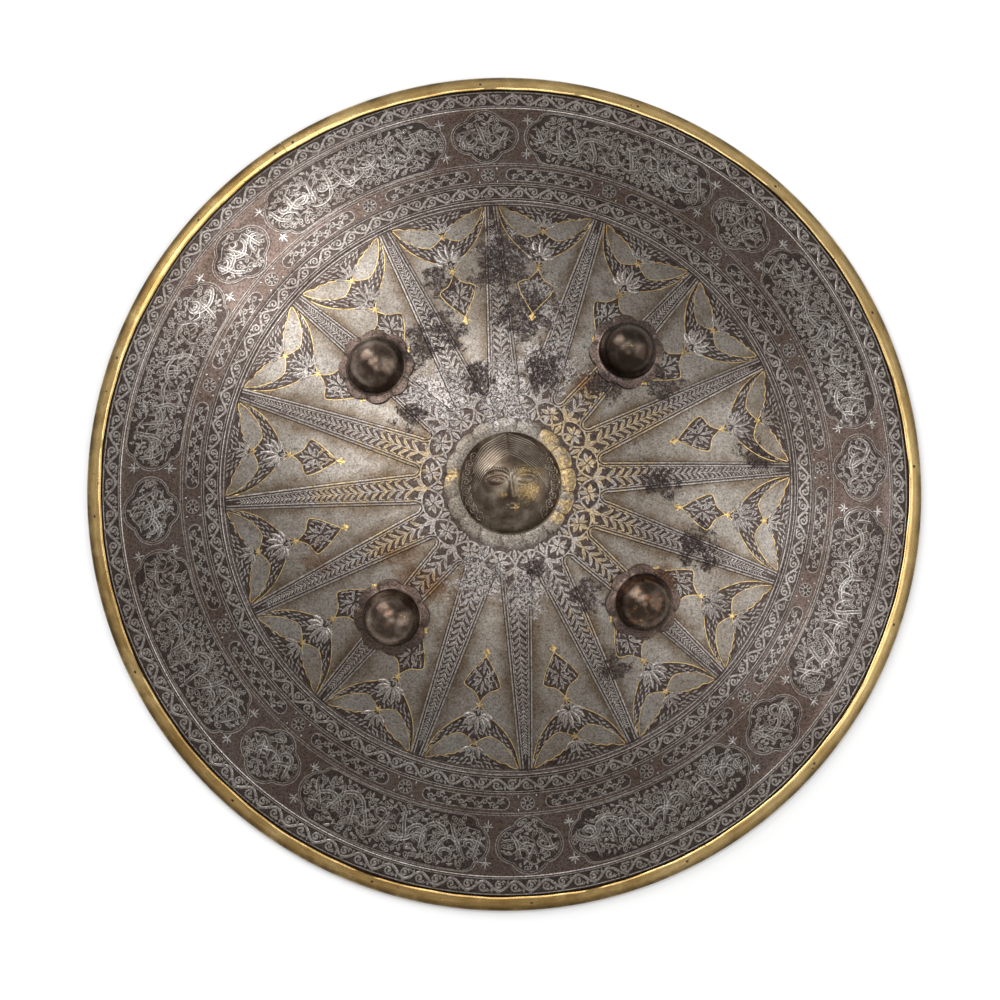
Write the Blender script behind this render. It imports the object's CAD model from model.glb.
import math
import random

import bmesh
import bpy
import numpy as np
from mathutils import Matrix, Vector


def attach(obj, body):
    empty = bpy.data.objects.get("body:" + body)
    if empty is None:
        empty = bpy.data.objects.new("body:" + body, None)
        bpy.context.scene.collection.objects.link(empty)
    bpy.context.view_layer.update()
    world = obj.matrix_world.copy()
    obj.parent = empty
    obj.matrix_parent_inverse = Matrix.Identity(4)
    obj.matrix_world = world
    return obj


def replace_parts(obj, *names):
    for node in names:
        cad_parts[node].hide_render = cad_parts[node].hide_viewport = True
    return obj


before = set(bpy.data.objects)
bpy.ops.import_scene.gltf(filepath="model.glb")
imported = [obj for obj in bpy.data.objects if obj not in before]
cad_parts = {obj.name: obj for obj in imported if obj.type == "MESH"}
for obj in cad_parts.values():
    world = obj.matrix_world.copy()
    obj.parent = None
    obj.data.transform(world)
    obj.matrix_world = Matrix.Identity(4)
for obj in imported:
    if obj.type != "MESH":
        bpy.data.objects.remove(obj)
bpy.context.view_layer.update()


# The bowl is one sheet of steel, forged to a dome and chiselled on the outside.
# Sixteen plain panels make its star. Everything else was cut back to a dark ground.
bowl_radius = 0.2283
dome_rise = 0.074
dome_power = 2.3
sheet = 0.0016
edge_height = 0.0029636
mouth_radius = 0.2222
rays = 16
ray_turn = 2 * math.pi / rays
star_tip, star_end = 0.0500, 0.1525
inner_border = (0.1548, 0.1657)
outer_border = 0.2110
ray_relief = 0.0006
border_relief = 0.0005


def dome_height(r):
    """Height of the bowl's outer face, without its carving."""
    return edge_height + dome_rise * (1 - (r / bowl_radius) ** dome_power)


def panel_half(r):
    """Half the width of a star panel, whose sides run straight from its tip."""
    narrow, wide = 0.0014, star_end * ray_turn / 2 - 0.0036
    return narrow + (wide - narrow) * (r - star_tip) / (star_end - star_tip)


def bank(inside):
    """A short slope from 0 to 1 where a distance inside an edge passes 0."""
    return np.clip(inside / 0.0006 + 0.5, 0, 1)


def carving(r, from_ray):
    """How far the chiselled face stands above the plain dome, from the radius and the angle to a ray."""
    on_ray = bank((ray_turn / 2 - np.abs(from_ray)) * r - panel_half(r))
    on_ray *= np.clip((r - 0.040) / 0.010, 0, 1) * (r < star_end + 0.0002)
    raised = np.maximum(
        bank(np.minimum(r - inner_border[0], inner_border[1] - r)),
        bank(np.minimum(r - outer_border, mouth_radius - 0.0012 - r)),
    )
    return np.maximum(on_ray * ray_relief, raised * border_relief)


def on_dome(x, y, up=0.0, carved=True):
    """Points on the dome over places in plan, lifted square to the face."""
    r = np.maximum(np.hypot(x, y), 1e-9)
    if carved:
        from_ray = (np.arctan2(x, y) + ray_turn / 2) % ray_turn - ray_turn / 2
        up = up + carving(r, from_ray)
    fall = dome_rise * dome_power / bowl_radius * (r / bowl_radius) ** (dome_power - 1)
    lean = up / np.hypot(fall, 1)
    return np.column_stack((x + x / r * fall * lean, y + y / r * fall * lean, dome_height(r) + lean))


def set_places(mesh, places):
    """Moves all of a mesh's points at once."""
    mesh.vertices.foreach_set("co", np.asarray(places, dtype=np.float32).ravel())
    mesh.update()


def places_of(mesh):
    """All of a mesh's points as rows of x, y and z."""
    places = np.empty(len(mesh.vertices) * 3, dtype=np.float32)
    mesh.vertices.foreach_get("co", places)
    return places.reshape(-1, 3).astype(float)


def mesh_from(bm, name):
    """Turns finished work into a mesh."""
    mesh = bpy.data.meshes.new(name)
    bm.to_mesh(mesh)
    bm.free()
    return mesh


def smooth_below(mesh, degrees):
    """Shades a mesh smooth, but for the edges where its faces meet at more than an angle."""
    mesh.shade_smooth()
    mesh.set_sharp_from_angle(angle=math.radians(degrees))


def new_piece(name, mesh, slot, *finishes):
    """Puts a finished mesh in the scene as a piece of the shield."""
    piece = bpy.data.objects.new(name, mesh)
    bpy.context.scene.collection.objects.link(piece)
    for finish in finishes:
        mesh.materials.append(finish)
    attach(piece, "root")
    return piece


def add(tree, kind, settings=(), **inputs):
    """Adds a shader node, sets its options, and wires or fills its inputs by name or by number (i0, i1)."""
    made = tree.nodes.new(kind)
    for key, value in dict(settings).items():
        setattr(made, key, value)
    for key, value in inputs.items():
        number = key[1:]
        socket = made.inputs[int(number) if number.isdigit() else key]
        if isinstance(value, bpy.types.NodeSocket):
            tree.links.new(value, socket)
        else:
            socket.default_value = value
    return made


def stops(tree, factor, *marks):
    """A ramp of greys or colours from (position, colour) marks."""
    made = add(tree, "ShaderNodeValToRGB", Fac=factor)
    for index, (place, colour) in enumerate(marks):
        band = made.color_ramp.elements
        stop = band[index] if index < 2 else band.new(place)
        stop.position = place
        stop.color = (*colour, 1) if isinstance(colour, tuple) else (colour, colour, colour, 1)
    return made.outputs["Color"]


def mottle(tree, scale, detail=4.0, rough=0.55):
    """Cloudy mottling of a given scale over the piece."""
    place = add(tree, "ShaderNodeTexCoord").outputs["Object"]
    return add(
        tree, "ShaderNodeTexNoise", Vector=place, Scale=scale, Detail=detail, Roughness=rough
    ).outputs["Fac"]


def mixed(tree, factor, first, second, way="MIX"):
    """Mixes two colours, or lays the second on the first in the given way."""
    made = add(
        tree, "ShaderNodeMix", {"data_type": "RGBA", "blend_type": way}, Factor=factor, i6=first, i7=second
    )
    return made.outputs[2]


def sum_of(tree, operation, first, second=0.5, clamp=False):
    """One sum on two values."""
    return add(
        tree, "ShaderNodeMath", {"operation": operation, "use_clamp": clamp}, i0=first, i1=second
    ).outputs[0]


def patches(tree, spots, torn_by, edge=(0.50, 0.58)):
    """Ragged patches round (x, y, size) spots in plan: 1 inside them and 0 outside."""
    place = add(tree, "ShaderNodeTexCoord").outputs["Object"]
    flat = add(tree, "ShaderNodeVectorMath", {"operation": "MULTIPLY"}, i0=place, i1=(1, 1, 0)).outputs[0]
    total = None
    for x, y, size in spots:
        gap = add(
            tree, "ShaderNodeVectorMath", {"operation": "DISTANCE"}, i0=flat, i1=(x, y, 0)
        ).outputs["Value"]
        near = add(tree, "ShaderNodeMapRange", i0=gap, i1=0.0, i2=size * 2, i3=1.0, i4=0.0).outputs[0]
        total = near if total is None else sum_of(tree, "MAXIMUM", total, near)
    torn = sum_of(tree, "MULTIPLY_ADD", torn_by, 2.6)
    torn.node.inputs[2].default_value = -1.3
    total = sum_of(tree, "ADD", total, torn)
    return add(tree, "ShaderNodeMapRange", i0=total, i1=edge[0], i2=edge[1], i3=0.0, i4=1.0).outputs[0]


def metal(name, roughness=0.4):
    """A bare metal and its shader, ready for its finish."""
    made = bpy.data.materials.new(name)
    made.use_nodes = True
    shader = made.node_tree.nodes["Principled BSDF"]
    shader.inputs["Metallic"].default_value = 1.0
    shader.inputs["Roughness"].default_value = roughness
    return made, made.node_tree, shader


def finish_metal(tree, shader, tone, rough, depth, height):
    """Gives a metal its colour, its roughness and fine bumps of some strength."""
    tree.links.new(tone, shader.inputs["Base Color"])
    tree.links.new(rough, shader.inputs["Roughness"])
    bumps = add(tree, "ShaderNodeBump", Strength=depth, Distance=0.0002, Height=height)
    tree.links.new(bumps.outputs["Normal"], shader.inputs["Normal"])


def inside_panel(tree):
    """How far a place lies inside the straight edges of the nearest star panel, in metres."""
    place = add(tree, "ShaderNodeSeparateXYZ", Vector=add(tree, "ShaderNodeTexCoord").outputs["Object"])
    flat = add(tree, "ShaderNodeCombineXYZ", X=place.outputs["X"], Y=place.outputs["Y"]).outputs[0]
    reach = add(tree, "ShaderNodeVectorMath", {"operation": "LENGTH"}, i0=flat).outputs["Value"]
    turn = sum_of(tree, "ARCTAN2", place.outputs["X"], place.outputs["Y"])
    off_axis = sum_of(tree, "SUBTRACT", ray_turn / 2, sum_of(tree, "PINGPONG", turn, ray_turn / 2))
    ends = {"i1": star_tip, "i2": star_end, "i3": panel_half(star_tip), "i4": panel_half(star_end)}
    half = add(tree, "ShaderNodeMapRange", {"clamp": False}, i0=reach, **ends).outputs[0]
    return sum_of(tree, "SUBTRACT", half, sum_of(tree, "MULTIPLY", off_axis, reach))


black_spots = [
    (0.004, 0.122, 0.016), (0.014, 0.092, 0.014), (-0.028, 0.085, 0.010), (-0.044, 0.078, 0.010),
    (0.020, 0.060, 0.010), (0.055, 0.050, 0.010), (0.086, 0.048, 0.009), (0.134, 0.008, 0.008),
    (0.080, -0.004, 0.009), (0.100, -0.040, 0.010), (-0.030, 0.112, 0.008), (0.036, -0.062, 0.008),
    (0.050, -0.100, 0.008), (-0.052, 0.040, 0.007), (0.010, -0.048, 0.006), (-0.014, 0.058, 0.008),
]
gilt_spots = [
    (0.050, 0.012, 0.022), (0.075, 0.022, 0.016), (0.048, -0.030, 0.018), (0.066, -0.052, 0.014),
    (-0.060, 0.014, 0.020), (-0.090, 0.006, 0.016), (-0.066, -0.030, 0.016), (0.032, 0.028, 0.012),
    (0.045, 0.050, 0.012), (0.043, -0.074, 0.011), (-0.044, -0.054, 0.009),
]
rubbed_spots = [
    (0.000, 0.050, 0.018), (0.024, 0.062, 0.016), (-0.034, 0.050, 0.014), (0.018, 0.092, 0.016),
    (0.006, -0.058, 0.012), (-0.020, -0.050, 0.012), (0.006, 0.124, 0.012),
]
rust_spots = [
    (-0.108, -0.034, 0.010), (-0.058, -0.040, 0.011), (-0.044, -0.052, 0.009), (0.080, -0.058, 0.010),
    (0.048, 0.052, 0.008),
]


def steel_finish(
    name, light, brown, black, gilt=0.0, grain_depth=0.25, stained=False, polish=0.0, gilt_places=gilt_spots
):
    """Worn steel: grey mottled with brown, pitted, with ragged black patches and the last of the gilding."""
    made, tree, shader = metal(name)
    cloud = mottle(tree, 24, 7, 0.62)
    pits = mottle(tree, 420, 4, 0.65)
    grit = mottle(tree, 900, 3, 0.75)
    tone = mixed(tree, stops(tree, cloud, (0.36, 0.0), (0.66, 1.0)), (*light, 1), (*brown, 1))
    low, high = (0.58, 1.16) if stained else (0.38, 1.18)
    tone = mixed(tree, 1.0, tone, stops(tree, grit, (0.36, low), (0.60, high)), "MULTIPLY")
    if stained:
        depth = inside_panel(tree)
        wander = sum_of(tree, "MULTIPLY", sum_of(tree, "SUBTRACT", mottle(tree, 90, 5, 0.6), 0.5), 0.016)
        depth = sum_of(tree, "ADD", depth, wander)
        stain = add(tree, "ShaderNodeMapRange", i0=depth, i1=-0.0005, i2=0.0062, i3=0.90, i4=0.0).outputs[0]
        tone = mixed(tree, stain, tone, mixed(tree, 1.0, tone, (0.47, 0.36, 0.26, 1), "MULTIPLY"))
        rusty = stops(tree, mottle(tree, 62, 6, 0.7), (0.56, 0.0), (0.70, 0.75))
        tone = mixed(tree, rusty, tone, (0.135, 0.092, 0.062, 1))
        speckle = stops(tree, mottle(tree, 700, 3, 0.7), (0.60, 0.0), (0.68, 0.8))
        tone = mixed(tree, speckle, tone, (0.075, 0.060, 0.052, 1))
    tone = mixed(tree, stops(tree, pits, (0.58, 0.0), (0.70, 0.8)), tone, (*black, 1))
    glints = stops(tree, mottle(tree, 1150, 2, 0.8), (0.60, 0.0), (0.70, 0.30 if stained else 0.55))
    tone = mixed(tree, glints, tone, tuple(min(c * 2.1, 0.85) for c in light) + (1,))
    if gilt:
        golden = patches(tree, gilt_places, mottle(tree, 190, 5, 0.75), (0.44, 0.66))
        golden = sum_of(tree, "MULTIPLY", golden, stops(tree, grit, (0.40, 0.30 * gilt), (0.52, gilt)))
        grains = stops(tree, mottle(tree, 640, 3, 0.75), (0.42, 0.0), (0.58, 1.0))
        gold = mixed(tree, grains, (0.27, 0.18, 0.085, 1), (0.60, 0.44, 0.21, 1))
        tone = mixed(tree, golden, tone, gold)
    rusted = patches(tree, rust_spots, mottle(tree, 110, 6, 0.7), (0.46, 0.74))
    rusted = sum_of(tree, "MULTIPLY", rusted, 0.62)
    tone = mixed(tree, rusted, tone, mixed(tree, 1.0, tone, (0.60, 0.38, 0.24, 1), "MULTIPLY"))
    rubbed = patches(tree, rubbed_spots, mottle(tree, 150, 5, 0.7), (0.40, 0.66))
    rubbed = sum_of(tree, "MULTIPLY", rubbed, 0.8)
    scratches = stops(tree, mottle(tree, 780, 3, 0.85), (0.47, 0.0), (0.54, 1.0))
    tone = mixed(tree, rubbed, tone, mixed(tree, scratches, (0.050, 0.040, 0.038, 1), (0.47, 0.43, 0.405, 1)))
    dark = patches(tree, black_spots, mottle(tree, 130, 7, 0.74), (0.47, 0.57))
    dark = sum_of(tree, "MULTIPLY", dark, stops(tree, mottle(tree, 620, 4, 0.8), (0.40, 0.20), (0.50, 1.0)))
    crust = stops(tree, grit, (0.40, 0.0), (0.60, 1.0))
    tone = mixed(tree, dark, tone, mixed(tree, crust, (0.030, 0.023, 0.022, 1), (0.090, 0.070, 0.063, 1)))
    rough = stops(tree, cloud, (0.3, 0.28 - polish), (0.7, 0.43 - polish))
    rough = sum_of(tree, "ADD", rough, sum_of(tree, "MULTIPLY", dark, 0.25), True)
    finish_metal(tree, shader, tone, rough, grain_depth, pits)
    return made


panel_steel = steel_finish(
    "panel steel", (0.345, 0.313, 0.277), (0.205, 0.168, 0.130), (0.07, 0.052, 0.040), stained=True
)
ground_steel = steel_finish(
    "ground steel", (0.100, 0.077, 0.068), (0.068, 0.048, 0.041), (0.018, 0.013, 0.011)
)
inside_steel = steel_finish("inside steel", (0.20, 0.175, 0.155), (0.11, 0.085, 0.068), (0.06, 0.042, 0.032))
band_steel = steel_finish(
    "band steel", (0.185, 0.137, 0.118), (0.118, 0.080, 0.062), (0.045, 0.030, 0.024), grain_depth=0.9
)

ray_columns, side_columns = 24, 3
columns = ray_columns * rays
outside = [0.006, 0.014, 0.022, 0.029, 0.036, 0.040, 0.045, *np.linspace(star_tip, star_end, 28)]
outside += [r + d for r in inner_border for d in (-0.0004, 0.0004)] + [0.160, *np.linspace(0.171, 0.206, 9)]
outside = sorted(outside + [outer_border - 0.0004, outer_border + 0.0004, 0.2160, mouth_radius - 0.001])
inside = [bowl_radius - 0.0015, 0.222, 0.205, 0.185, 0.163, 0.140, 0.117, 0.094, 0.070, 0.046, 0.022]
bm = bmesh.new()
profile = [bm.verts.new((0, r, 1)) for r in [0, *outside, bowl_radius - 0.0005]]
profile += [bm.verts.new((0, r, -1)) for r in [*inside, 0]]
edges = [bm.edges.new(pair) for pair in zip(profile, profile[1:])]
bmesh.ops.spin(
    bm, geom=profile + edges, cent=(0, 0, 0), axis=(0, 0, 1), angle=2 * math.pi, steps=columns, use_merge=True
)
bmesh.ops.remove_doubles(bm, verts=bm.verts, dist=1e-6)
bowl = mesh_from(bm, "bowl")

spun = places_of(bowl)
r, a, outer = np.hypot(spun[:, 0], spun[:, 1]), np.arctan2(spun[:, 0], spun[:, 1]), spun[:, 2] > 0
step = np.rint(a / (2 * math.pi / columns)).astype(int)
sector, number = np.divmod(step + side_columns, ray_columns)
number = number - side_columns
ray_half = ray_turn / 2 - panel_half(np.maximum(r, star_tip)) / np.maximum(r, star_tip)
slope = 0.0003 / np.maximum(r, star_tip)
ray_places = [-ray_half - slope, -ray_half + slope, -ray_half / 2, ray_half * 0]
ray_places = np.stack(ray_places + [ray_half / 2, ray_half - slope, ray_half + slope])
inner_places = ray_places[np.clip(number + side_columns, 0, 2 * side_columns), np.arange(len(r))]
share = (number - side_columns) / (ray_columns - 2 * side_columns)
panel_places = ray_half + slope + (ray_turn - 2 * ray_half - 2 * slope) * share
starred = sector * ray_turn + np.where(number <= side_columns, inner_places, panel_places)
in_star = outer & (r > star_tip - 1e-5) & (r < star_end + 1e-5)
a = np.where(in_star, starred, step * (2 * math.pi / columns))
x, y = r * np.sin(a), r * np.cos(a)
shaped = np.where(outer[:, None], on_dome(x, y), on_dome(x, y, -sheet, carved=False))
set_places(bowl, shaped)
for face in bowl.polygons:
    cx, cy, cz = face.center
    reach = math.hypot(cx, cy)
    off_ray = (math.atan2(cx, cy) + ray_turn / 2) % ray_turn - ray_turn / 2
    if cz < dome_height(reach) - sheet / 2:
        face.material_index = 2
    elif star_tip < reach < star_end and (ray_turn / 2 - abs(off_ray)) * reach < panel_half(reach):
        face.material_index = 0
    elif inner_border[1] + 0.0004 < reach < outer_border - 0.0004:
        face.material_index = 3
    else:
        face.material_index = 1
smooth_below(bowl, 28)
bowl_piece = new_piece("chiselled_bowl", bowl, "steel", panel_steel, ground_steel, inside_steel, band_steel)
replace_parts(bowl_piece, "shield_bowl")


# The raised work is what the chisel left standing on the dark ground: lines, scrolls and leaves.
# Each stroke is drawn in plan, in millimetres, and follows the bowl's face.
def wave(points, widths):
    """A stroke through smooth points, with its half widths spread along it."""
    points = np.asarray(points, dtype=float)
    widths = np.interp(np.linspace(0, 1, len(points)), np.linspace(0, 1, len(widths)), widths)
    return np.column_stack((points, widths))


def curve_through(points, count):
    """A smooth curve through a few points."""
    points = np.asarray(points, dtype=float)
    padded = np.vstack((2 * points[0] - points[1], points, 2 * points[-1] - points[-2]))
    found = []
    for t in np.linspace(0, len(points) - 1.0001, count):
        i, u = int(t), t - int(t)
        p0, p1, p2, p3 = padded[i : i + 4]
        square, cube = 2 * p0 - 5 * p1 + 4 * p2 - p3, 3 * p1 - p0 - 3 * p2 + p3
        found.append(0.5 * (2 * p1 + (p2 - p0) * u + square * u**2 + cube * u**3))
    return np.array(found)


def leaf(x, y, length, heading, half, bend=0.2, count=5):
    """A pointed leaf from its foot, growing along a heading, where 0 is outwards and 90 clockwise."""
    t = np.linspace(0, 1, count)
    turn = math.radians(heading)
    side = bend * length * np.sin(math.pi * t)
    px = x + length * t * math.sin(turn) + side * math.cos(turn)
    py = y + length * t * math.cos(turn) - side * math.sin(turn)
    widths = np.maximum(half * np.sin(math.pi * np.linspace(0.06, 0.94, 9)) ** 0.8, 0.06)
    return wave(np.column_stack((px, py)), widths)


def leaves_over(inside, across, along, gap, way, seed):
    """Small leaves spread over an area, each growing roughly the way given for its place."""
    chance = random.Random(seed)
    found = []
    for row, y in enumerate(np.arange(along[0], along[1], gap * 0.84)):
        for x in np.arange(across[0] + gap / 2 * (row % 2), across[1], gap):
            px, py = x + chance.uniform(-0.15, 0.15) * gap, y + chance.uniform(-0.15, 0.15) * gap
            heading, size = way(px, py) + chance.uniform(-24, 24), gap * chance.uniform(0.95, 1.2)
            if inside(px, py):
                turn = math.radians(heading)
                foot = px - size / 2 * math.sin(turn), py - size / 2 * math.cos(turn)
                found.append(leaf(*foot, size, heading, gap * 0.27, 0.1, 4))
    return found


def veins_of(leaves, least):
    """The engraved line down the middle of each leaf that is wide enough for one."""
    wide = [s for s in leaves if 4 < len(s) < 8 and s[:, 2].max() > least]
    return [np.column_stack((s[1:-1, :2], np.full(len(s) - 2, 0.15))) for s in wide]


def curl(x, y, size, start, hand, turns=1.4, half=0.34, count=16):
    """A spiral that winds in to its eye from a starting direction."""
    t = np.linspace(0, 1, count)
    around = math.radians(start) + hand * 2 * math.pi * turns * t
    reach = size * (1 - 0.86 * t)
    wound = np.column_stack((x + reach * np.sin(around), y + reach * np.cos(around)))
    return wave(wound, [half * 0.7, half, half, half * 1.3])


def ring_line(radius, half, count=384):
    """A line right round the bowl."""
    turn = np.linspace(0, 2 * math.pi, count, endpoint=False)
    return np.column_stack((radius * np.sin(turn), radius * np.cos(turn), np.full(count, half)))


def bent(strokes, radius, angle):
    """Strokes drawn on a straight band, laid along a circle at an angle."""
    laid = []
    for s in strokes:
        turn, reach = angle + s[:, 0] / radius, radius + s[:, 1]
        laid.append(np.column_stack((reach * np.sin(turn), reach * np.cos(turn), s[:, 2])))
    return laid


def turned(strokes, angle, flip=False):
    """Strokes drawn upright from the middle of the bowl, turned to an angle and perhaps mirrored."""
    laid = []
    for s in strokes:
        x = -s[:, 0] if flip else s[:, 0]
        across = x * math.cos(angle) + s[:, 1] * math.sin(angle)
        outwards = s[:, 1] * math.cos(angle) - x * math.sin(angle)
        laid.append(np.column_stack((across, outwards, s[:, 2])))
    return laid


def raised_work(name, strokes, cap, slot, finish, rings=(), lift=0.0, surface=on_dome, swell=1.0):
    """Makes strokes and closed rings into one piece of flat-topped relief, under its cap, all in mm."""
    section = bpy.data.curves.new("section", "CURVE")
    section.dimensions = "2D"
    outline = section.splines.new("POLY")
    outline.points.add(3)
    for point, (px, py) in zip(outline.points, ((-1, -0.7), (1, -0.7), (0.6, 1), (-0.6, 1))):
        point.co = (px, py, 0, 1)
    outline.use_cyclic_u = True
    guide = bpy.data.objects.new("section", section)
    bpy.context.scene.collection.objects.link(guide)
    drawn = bpy.data.curves.new(name, "CURVE")
    drawn.dimensions = "3D"
    drawn.twist_mode = "Z_UP"
    drawn.bevel_mode = "OBJECT"
    drawn.bevel_object = guide
    drawn.use_fill_caps = True
    for group, closed in ((strokes, False), (rings, True)):
        for s in group:
            spline = drawn.splines.new("POLY")
            spline.points.add(len(s) - 1)
            places = np.column_stack((s[:, :2], np.zeros(len(s)), np.ones(len(s))))
            spline.points.foreach_set("co", places.astype(np.float32).ravel())
            spline.points.foreach_set("radius", (s[:, 2] * swell).astype(np.float32))
            spline.use_cyclic_u = closed
    holder = bpy.data.objects.new(name, drawn)
    bpy.context.scene.collection.objects.link(holder)
    bpy.context.view_layer.update()
    mesh = bpy.data.meshes.new_from_object(holder.evaluated_get(bpy.context.evaluated_depsgraph_get()))
    for used in (holder, guide):
        bpy.data.objects.remove(used)
    flat = places_of(mesh)
    up = (np.clip(flat[:, 2], -0.25, cap) + lift) / 1000
    set_places(mesh, surface(flat[:, 0] / 1000, flat[:, 1] / 1000, up))
    mesh.name = name
    mesh.materials.clear()
    bm = bmesh.new()
    bm.from_mesh(mesh)
    bmesh.ops.recalc_face_normals(bm, faces=bm.faces)
    bm.to_mesh(mesh)
    bm.free()
    smooth_below(mesh, 40)
    return new_piece(name, mesh, slot, finish)


raised_steel = steel_finish(
    "raised steel", (0.44, 0.398, 0.365), (0.285, 0.240, 0.208), (0.085, 0.062, 0.050), gilt=0.75,
    polish=-0.06
)


def running_scroll(radius, half_height, periods):
    """A running vine with a curl in each of its bends, and a bud and leaves in the corners between."""
    length = math.pi * radius / periods
    unit = []
    for sign in (1, -1):
        shift = 0 if sign > 0 else length
        x = np.linspace(0, length, 9)
        stem = np.column_stack((x + shift, sign * 0.74 * half_height * np.cos(math.pi * x / length)))
        unit.append(wave(stem, [0.62, 0.78, 0.62]))
        eye_x, eye_y = shift + length * 1.02, sign * 0.14 * half_height
        unit.append(curl(eye_x, eye_y, half_height * 0.74, -80 if sign > 0 else 260, sign, 1.30, 0.60, 15))
        unit.append(leaf(eye_x - 0.3, eye_y, 0.8, 90, 0.45, 0, 3))
        up = sign * half_height
        heading = 12 if sign > 0 else 168
        unit.append(leaf(shift + length * 0.36, 0.10 * up, half_height * 0.90, heading, 0.74, 0.2 * sign))
        unit.append(leaf(shift + length * 0.58, 0.60 * up, length * 0.36, 95, 0.58, -0.2 * sign, 4))
        unit.append(leaf(shift + length * 0.86, -0.98 * up, length * 0.30, 88, 0.34, 0, 4))
    return [s for k in range(periods) for s in bent(unit, radius, 2 * math.pi * k / periods)]


raised_work("outer_scroll_border", running_scroll(216.2, 3.6, 78), 0.32, "steel", raised_steel, swell=1.22)
raised_work("inner_scroll_border", running_scroll(160.3, 3.3, 63), 0.32, "steel", raised_steel, swell=1.22)
lines = [
    (221.1, 0.55), (211.9, 0.36), (210.9, 0.30), (177.4, 0.34), (176.2, 0.28), (165.4, 0.36), (164.2, 0.32),
    (156.5, 0.32), (155.2, 0.38), (153.5, 0.55)
]
raised_work("border_lines", [], 0.30, "steel", raised_steel, rings=[ring_line(*line) for line in lines])


# The broad band carries eight long cartouches and eight four-lobed ones between them, cut back inside
# their frames. Rows of bold shallow strokes, edged with silver, cross a vine with small leaves in each.
bright_steel = steel_finish(
    "silver inlay", (0.78, 0.75, 0.71), (0.46, 0.42, 0.385), (0.16, 0.13, 0.11), polish=0.05
)
stroke_steel = steel_finish("stroke steel", (0.28, 0.240, 0.214), (0.185, 0.145, 0.122), (0.06, 0.043, 0.036))
band_middle = 193.8


def outline_of(shape, count):
    """The closed outline of a cartouche about its middle, in mm along and across the band."""
    if shape == "long":
        shoulder = [
            (40.0 + 6.6 * math.sin(t), 10.6 + 4.8 * math.cos(t))
            for t in np.linspace(0, math.radians(80), 8)
        ]
        nose = [(42.2 + 11.4 * math.cos(t), 11.4 * math.sin(t)) for t in np.linspace(math.radians(67), 0, 12)]
        quarter = np.array([(x, 15.4) for x in np.linspace(0, 38, 22)] + shoulder + nose)
        lower = quarter[::-1] * (1, -1)
        half = np.vstack((quarter, lower[1:]))
        return np.vstack((half, (half[::-1] * (-1, 1))[1:-1]))
    turn = np.linspace(0, 2 * math.pi, count, endpoint=False)
    reach = np.zeros(count)
    for k, (off, lobe) in enumerate(((8.0, 9.6), (5.6, 9.6), (8.0, 9.6), (5.6, 9.6))):
        away = turn - k * math.pi / 2
        under = lobe**2 - (off * np.sin(away)) ** 2
        reach = np.maximum(reach, off * np.cos(away) + np.sqrt(np.maximum(under, 0)))
    return np.column_stack((reach * np.cos(turn), reach * np.sin(turn)))


def inside_outline(shape, x, y, margin):
    """Whether a place is inside a cartouche by a margin."""
    if shape == "long":
        if abs(x) < 40:
            return abs(y) < 15.3 - margin
        return math.hypot(max(abs(x) - 42.2, 0), y) < 11.4 - margin
    return min(math.hypot(abs(x) - 8.0, y), math.hypot(x, abs(y) - 5.6)) < 9.6 - margin


def beside(route, gap):
    """A route shifted sideways by a gap."""
    run = np.gradient(route, axis=0)
    run /= np.maximum(np.hypot(run[:, 0], run[:, 1]), 1e-9)[:, None]
    return route + np.column_stack((-run[:, 1], run[:, 0])) * gap


def eyed_leaf(x, y, size, heading):
    """A small leaf drawn as a ring with a bright bud in it."""
    turn = np.linspace(0, 2 * math.pi, 9, endpoint=False)
    px, py = 0.56 * size * np.sin(turn) * (1 - 0.25 * np.cos(turn)), size * np.cos(turn)
    a = math.radians(heading)
    ring = np.column_stack((x + px * math.cos(a) + py * math.sin(a), y + py * math.cos(a) - px * math.sin(a)))
    return wave(ring, [0.36]), leaf(x - 0.5 * math.sin(a), y - 0.5 * math.cos(a), 1.1, heading, 0.40, 0, 3)


def bold_routes(shape, chance):
    """Leaning uprights, open bowls and closed rounds for one cartouche, none of them a letter."""
    reach = 48 if shape == "long" else 13
    routes = []
    x = -reach + chance.uniform(0, 3)
    while x < reach:
        lean = math.radians(chance.choice((-28, -20, -14, 12, 20)))
        tall, y, hook = chance.uniform(14, 25), chance.uniform(-2.5, 2.5), chance.uniform(-3.0, 3.0)
        dx, dy = math.sin(lean) * tall / 2, math.cos(lean) * tall / 2
        lower = [(x - dx + hook * 0.8, y - dy), (x - dx * 0.4 - hook * 0.4, y - dy * 0.35)]
        routes.append(lower + [(x + dx * 0.4, y + dy * 0.4), (x + dx + hook * 0.3, y + dy)])
        x += chance.uniform(8.0, 12.0)
    x = -reach + chance.uniform(2, 5)
    while x < reach:
        wide, deep, y = chance.uniform(6, 10), chance.uniform(4, 7.5), chance.uniform(-5, 4)
        side = chance.choice((-1, 1, 1))
        shares = ((-1, 0.7), (-0.7, -0.3), (0, -0.72), (0.75, -0.2), (0.8, 0.6))
        routes.append([(x + wide * across, y + side * deep * up) for across, up in shares])
        x += chance.uniform(8, 12)
    x = -reach + chance.uniform(3, 8)
    while x < reach:
        size, y = chance.uniform(1.7, 2.7), chance.uniform(-7, 7)
        routes.append([
            (x + size * 1.25 * math.sin(t), y + size * math.cos(t))
            for t in np.linspace(0.3, 6.0, 9)
        ])
        x += chance.uniform(10, 16)
    return routes


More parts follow.
